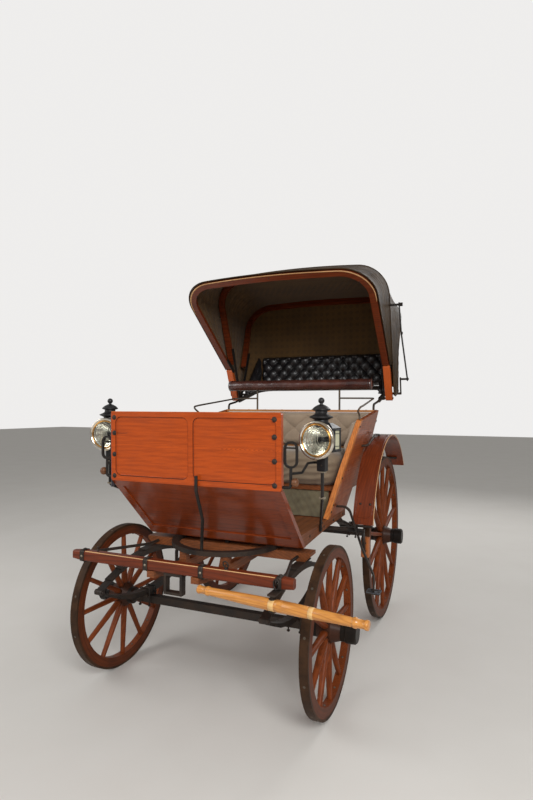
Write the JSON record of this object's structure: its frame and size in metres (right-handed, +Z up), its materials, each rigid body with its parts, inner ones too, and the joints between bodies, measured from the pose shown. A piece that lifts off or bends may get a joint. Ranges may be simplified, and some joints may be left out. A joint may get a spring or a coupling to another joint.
{
  "type": "phaeton carriage",
  "caption": "Open horse-drawn carriage with a driver's seat below a folding leather hood, lamps, a turning forecarriage on elliptic springs and spoked wooden wheels.",
  "frame": {"origin": "on the floor, below the middle of the front axle", "axes": "+X to the vehicle's left, -Y forwards, +Z up"},
  "size_m": [1.7193, 2.5161, 2.5337],
  "materials": {
    "oiled_wood": "satin",
    "varnished_wood": "gloss",
    "pale_wood": "satin",
    "black_iron": "satin",
    "worn_iron": "worn",
    "nickel": "polished",
    "black_metal": "gloss",
    "lamp_glass": "clear",
    "taupe_cloth": "matt",
    "fall_cloth": "matt",
    "brown_leather": "polished",
    "black_leather": "satin",
    "hood_leather": "weathered"
  },
  "bodies": {
    "carriage_body": {"rear_axle": "black_iron", "rear_springs": "black_iron", "floor": "oiled_wood", "toe_board": "varnished_wood", "dash_board": "varnished_wood", "upper_turntable": "black_iron", "front_irons": "black_iron", "seat_posts": "pale_wood", "seat_sides": "varnished_wood", "lower_sides": "varnished_wood", "seat_box": "oiled_wood", "seat_back": "oiled_wood", "seat_fall": "fall_cloth", "seat_cushion": "taupe_cloth", "seat_pads": "taupe_cloth", "lazy_back_roll": "brown_leather", "lazy_back_irons": "black_iron", "boot": "varnished_wood", "rear_seat_pads": "taupe_cloth", "rear_seat_rail": "black_iron", "fenders": "oiled_wood", "side_irons": "black_iron", "brake_irons": "black_iron", "brake_blocks": "oiled_wood", "lamp_bodies": "black_metal", "lamp_bezels": "nickel", "lamp_glasses": "lamp_glass", "hood_base": "black_iron", "hood_squab": "black_leather", "hood_back_curtain": "hood_leather"},
    "forecarriage": {"front_axle": "black_iron", "front_springs": "black_iron", "transom": "oiled_wood", "futchells": "oiled_wood", "lower_turntable": "black_iron", "splinter_bar": "oiled_wood", "splinter_irons": "black_iron"},
    "swingletree": {"swingletree": "pale_wood"},
    "front_left_wheel": {"front_left_wheel": "oiled_wood", "front_left_wheel_irons": "worn_iron"},
    "front_right_wheel": {"front_right_wheel": "oiled_wood", "front_right_wheel_irons": "worn_iron"},
    "rear_left_wheel": {"rear_left_wheel": "oiled_wood", "rear_left_wheel_irons": "worn_iron"},
    "rear_right_wheel": {"rear_right_wheel": "oiled_wood", "rear_right_wheel_irons": "worn_iron"},
    "hood_rear": {"hood_rear_bow": "oiled_wood", "hood_rear_slats": "black_iron", "hood_rear_cover": "hood_leather"},
    "hood_main": {"hood_main_bow": "varnished_wood", "hood_main_slats": "black_iron", "hood_front_cover": "hood_leather"},
    "hood_front": {"hood_front_bow": "varnished_wood", "hood_front_irons": "black_iron"},
    "hood_props": {"hood_props": "black_iron"}
  },
  "joints": [
    {"name": "steering", "type": "hinge", "parent": "carriage_body", "child": "forecarriage", "pos_m": [0, 0.115, 0.747], "axis": [0, 0, 1], "range_deg": [-30, 30]},
    {"name": "swingletree_swing", "type": "hinge", "parent": "forecarriage", "child": "swingletree", "pos_m": [0.52412, -0.49805, 0.668], "axis": [0, 0, 1], "range_deg": [-12, 12]},
    {"name": "front_left_roll", "type": "hinge", "parent": "forecarriage", "child": "front_left_wheel", "pos_m": [0.625, 0, 0.4], "axis": [1, 0, 0], "continuous": true},
    {"name": "front_right_roll", "type": "hinge", "parent": "forecarriage", "child": "front_right_wheel", "pos_m": [-0.625, 0, 0.4], "axis": [1, 0, 0], "continuous": true},
    {"name": "rear_left_roll", "type": "hinge", "parent": "carriage_body", "child": "rear_left_wheel", "pos_m": [0.625, 1.37, 0.568], "axis": [1, 0, 0], "continuous": true},
    {"name": "rear_right_roll", "type": "hinge", "parent": "carriage_body", "child": "rear_right_wheel", "pos_m": [-0.625, 1.37, 0.568], "axis": [1, 0, 0], "continuous": true},
    {"name": "hood_fold", "type": "hinge", "parent": "carriage_body", "child": "hood_rear", "pos_m": [0, 1.514, 1.567], "axis": [-1, 0, 0], "range_deg": [0, 48], "deforming": ["hood_back_curtain"]},
    {"name": "main_bow_fold", "type": "hinge", "parent": "hood_rear", "child": "hood_main", "pos_m": [0, 1.514, 1.567], "axis": [-1, 0, 0], "range_deg": [0, 32.2], "deforming": ["hood_rear_cover"]},
    {"name": "front_bow_fold", "type": "hinge", "parent": "hood_main", "child": "hood_front", "pos_m": [0, 1.406, 1.796], "axis": [-1, 0, 0], "range_deg": [0, 25.65], "deforming": ["hood_front_cover"]},
    {"name": "prop_fold", "type": "hinge", "parent": "carriage_body", "child": "hood_props", "pos_m": [0, 1.69, 1.72], "axis": [-1, 0, 0], "range_deg": [0, 102]}
  ],
  "couplings": [
    {"joint": "main_bow_fold", "follows": "hood_fold", "ratio": 0.6708},
    {"joint": "front_bow_fold", "follows": "hood_fold", "ratio": 0.5343},
    {"joint": "prop_fold", "follows": "hood_fold", "ratio": 2.125}
  ]
}
